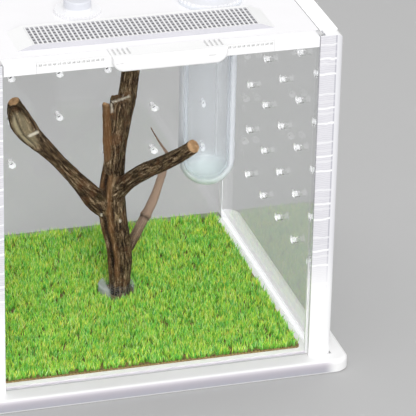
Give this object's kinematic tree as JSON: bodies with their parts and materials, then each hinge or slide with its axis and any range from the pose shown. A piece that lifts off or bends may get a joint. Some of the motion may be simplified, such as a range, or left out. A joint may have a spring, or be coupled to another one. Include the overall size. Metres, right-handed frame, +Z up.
{
  "type": "acrylic spider breeding box",
  "caption": "Clear acrylic breeding box on a white base, with a sliding front door, a vented lid, a feeder tube, a turf mat and a branch.",
  "frame": {"origin": "on the table, under the middle of the case, on the underside of the base", "axes": "+X to the right, +Y to the back wall, +Z up"},
  "size_m": [0.1104, 0.1022, 0.1068],
  "materials": {
    "clear_acrylic": "clear polished acrylic sheet",
    "header_acrylic": "milky clear acrylic bar",
    "lid_acrylic": "milky white acrylic sheet",
    "white_plastic": "smooth white moulded plastic",
    "mesh_plastic": "white moulded mesh",
    "tube_plastic": "thin clear test tube plastic",
    "cap_plastic": "pale grey moulded plastic",
    "turf_backing": "brown woven backing",
    "turf_green": "short bright green pile",
    "bark": "rough brown bark with pale cut ends",
    "foot_plastic": "translucent grey plastic"
  },
  "bodies": {
    "root": {"base_tray": "white_plastic", "left_wall": "clear_acrylic", "right_wall": "clear_acrylic", "back_wall": "clear_acrylic", "left_post": "clear_acrylic", "right_post": "clear_acrylic", "left_lid_rest": "clear_acrylic", "right_lid_rest": "clear_acrylic", "rear_lid_rest": "clear_acrylic", "turf_backing": "turf_backing", "turf_pile": "turf_green", "branch": "bark", "branch_foot": "foot_plastic"},
    "door": {"door_pane": "clear_acrylic", "door_header": "header_acrylic", "finger_pull": "white_plastic"},
    "lid": {"lid_panel": "lid_acrylic", "mesh_frame": "white_plastic", "vent_mesh": "mesh_plastic"},
    "tube": {"feeder_tube": "tube_plastic"},
    "cap": {"tube_cap": "cap_plastic"},
    "plug": {"port_plug": "cap_plastic"}
  },
  "joints": [
    {"name": "door_slide", "type": "slide", "parent": "root", "child": "door", "axis": [0, 0, 1], "range_m": [0, 0.092]},
    {"name": "lid_lift", "type": "slide", "parent": "root", "child": "lid", "axis": [0, 0, 1], "range_m": [0, 0.065]},
    {"name": "tube_lift", "type": "slide", "parent": "lid", "child": "tube", "axis": [0, 0, 1], "range_m": [0, 0.06]},
    {"name": "cap_pull", "type": "slide", "parent": "tube", "child": "cap", "axis": [0, 0, 1], "range_m": [0, 0.012]},
    {"name": "plug_pull", "type": "slide", "parent": "lid", "child": "plug", "axis": [0, 0, 1], "range_m": [0, 0.012]}
  ]
}
